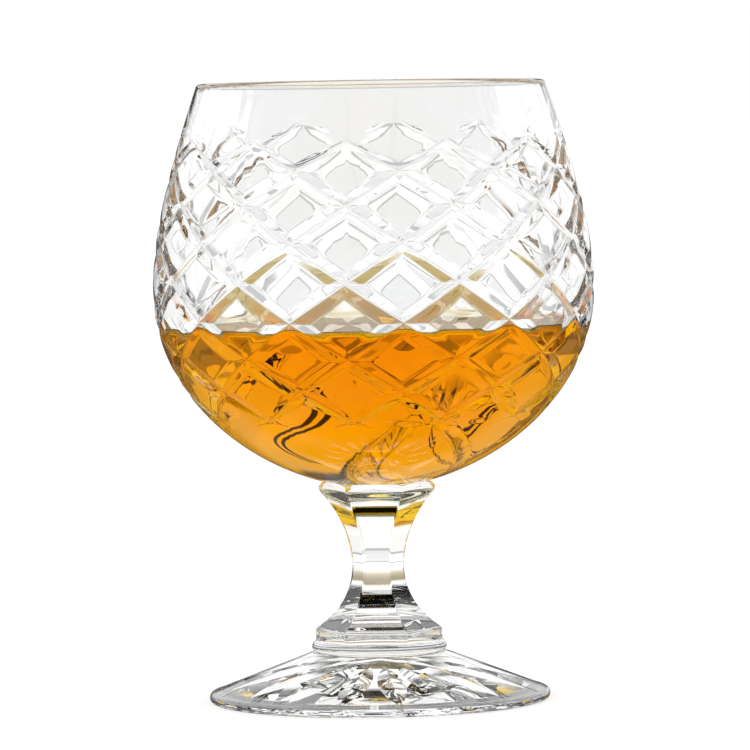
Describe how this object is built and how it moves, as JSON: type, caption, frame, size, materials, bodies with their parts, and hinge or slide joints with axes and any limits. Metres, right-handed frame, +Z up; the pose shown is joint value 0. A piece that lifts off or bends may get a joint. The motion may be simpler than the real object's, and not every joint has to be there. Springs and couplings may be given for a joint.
{
  "type": "brandy snifter",
  "caption": "Brandy snifter with a round-bellied diamond-cut glass bowl, a short hexagonal stem, a collar and a star-cut foot, part filled with amber brandy.",
  "frame": {"origin": "bottom centre of the foot, on the surface that the glass stands on", "axes": "+Z up along the axis of the glass; the picture looks along +Y"},
  "size_m": [0.0948, 0.0948, 0.133],
  "materials": {
    "cut_glass": "polished colourless crystal with bright V-shaped cuts",
    "clear_glass": "polished colourless crystal",
    "amber_spirit": "clear amber liquid, deep orange at the surface and golden below"
  },
  "bodies": {
    "root": {"bowl": "cut_glass", "brandy": "amber_spirit", "stem": "clear_glass", "collar": "clear_glass", "foot": "clear_glass"}
  },
  "joints": []
}
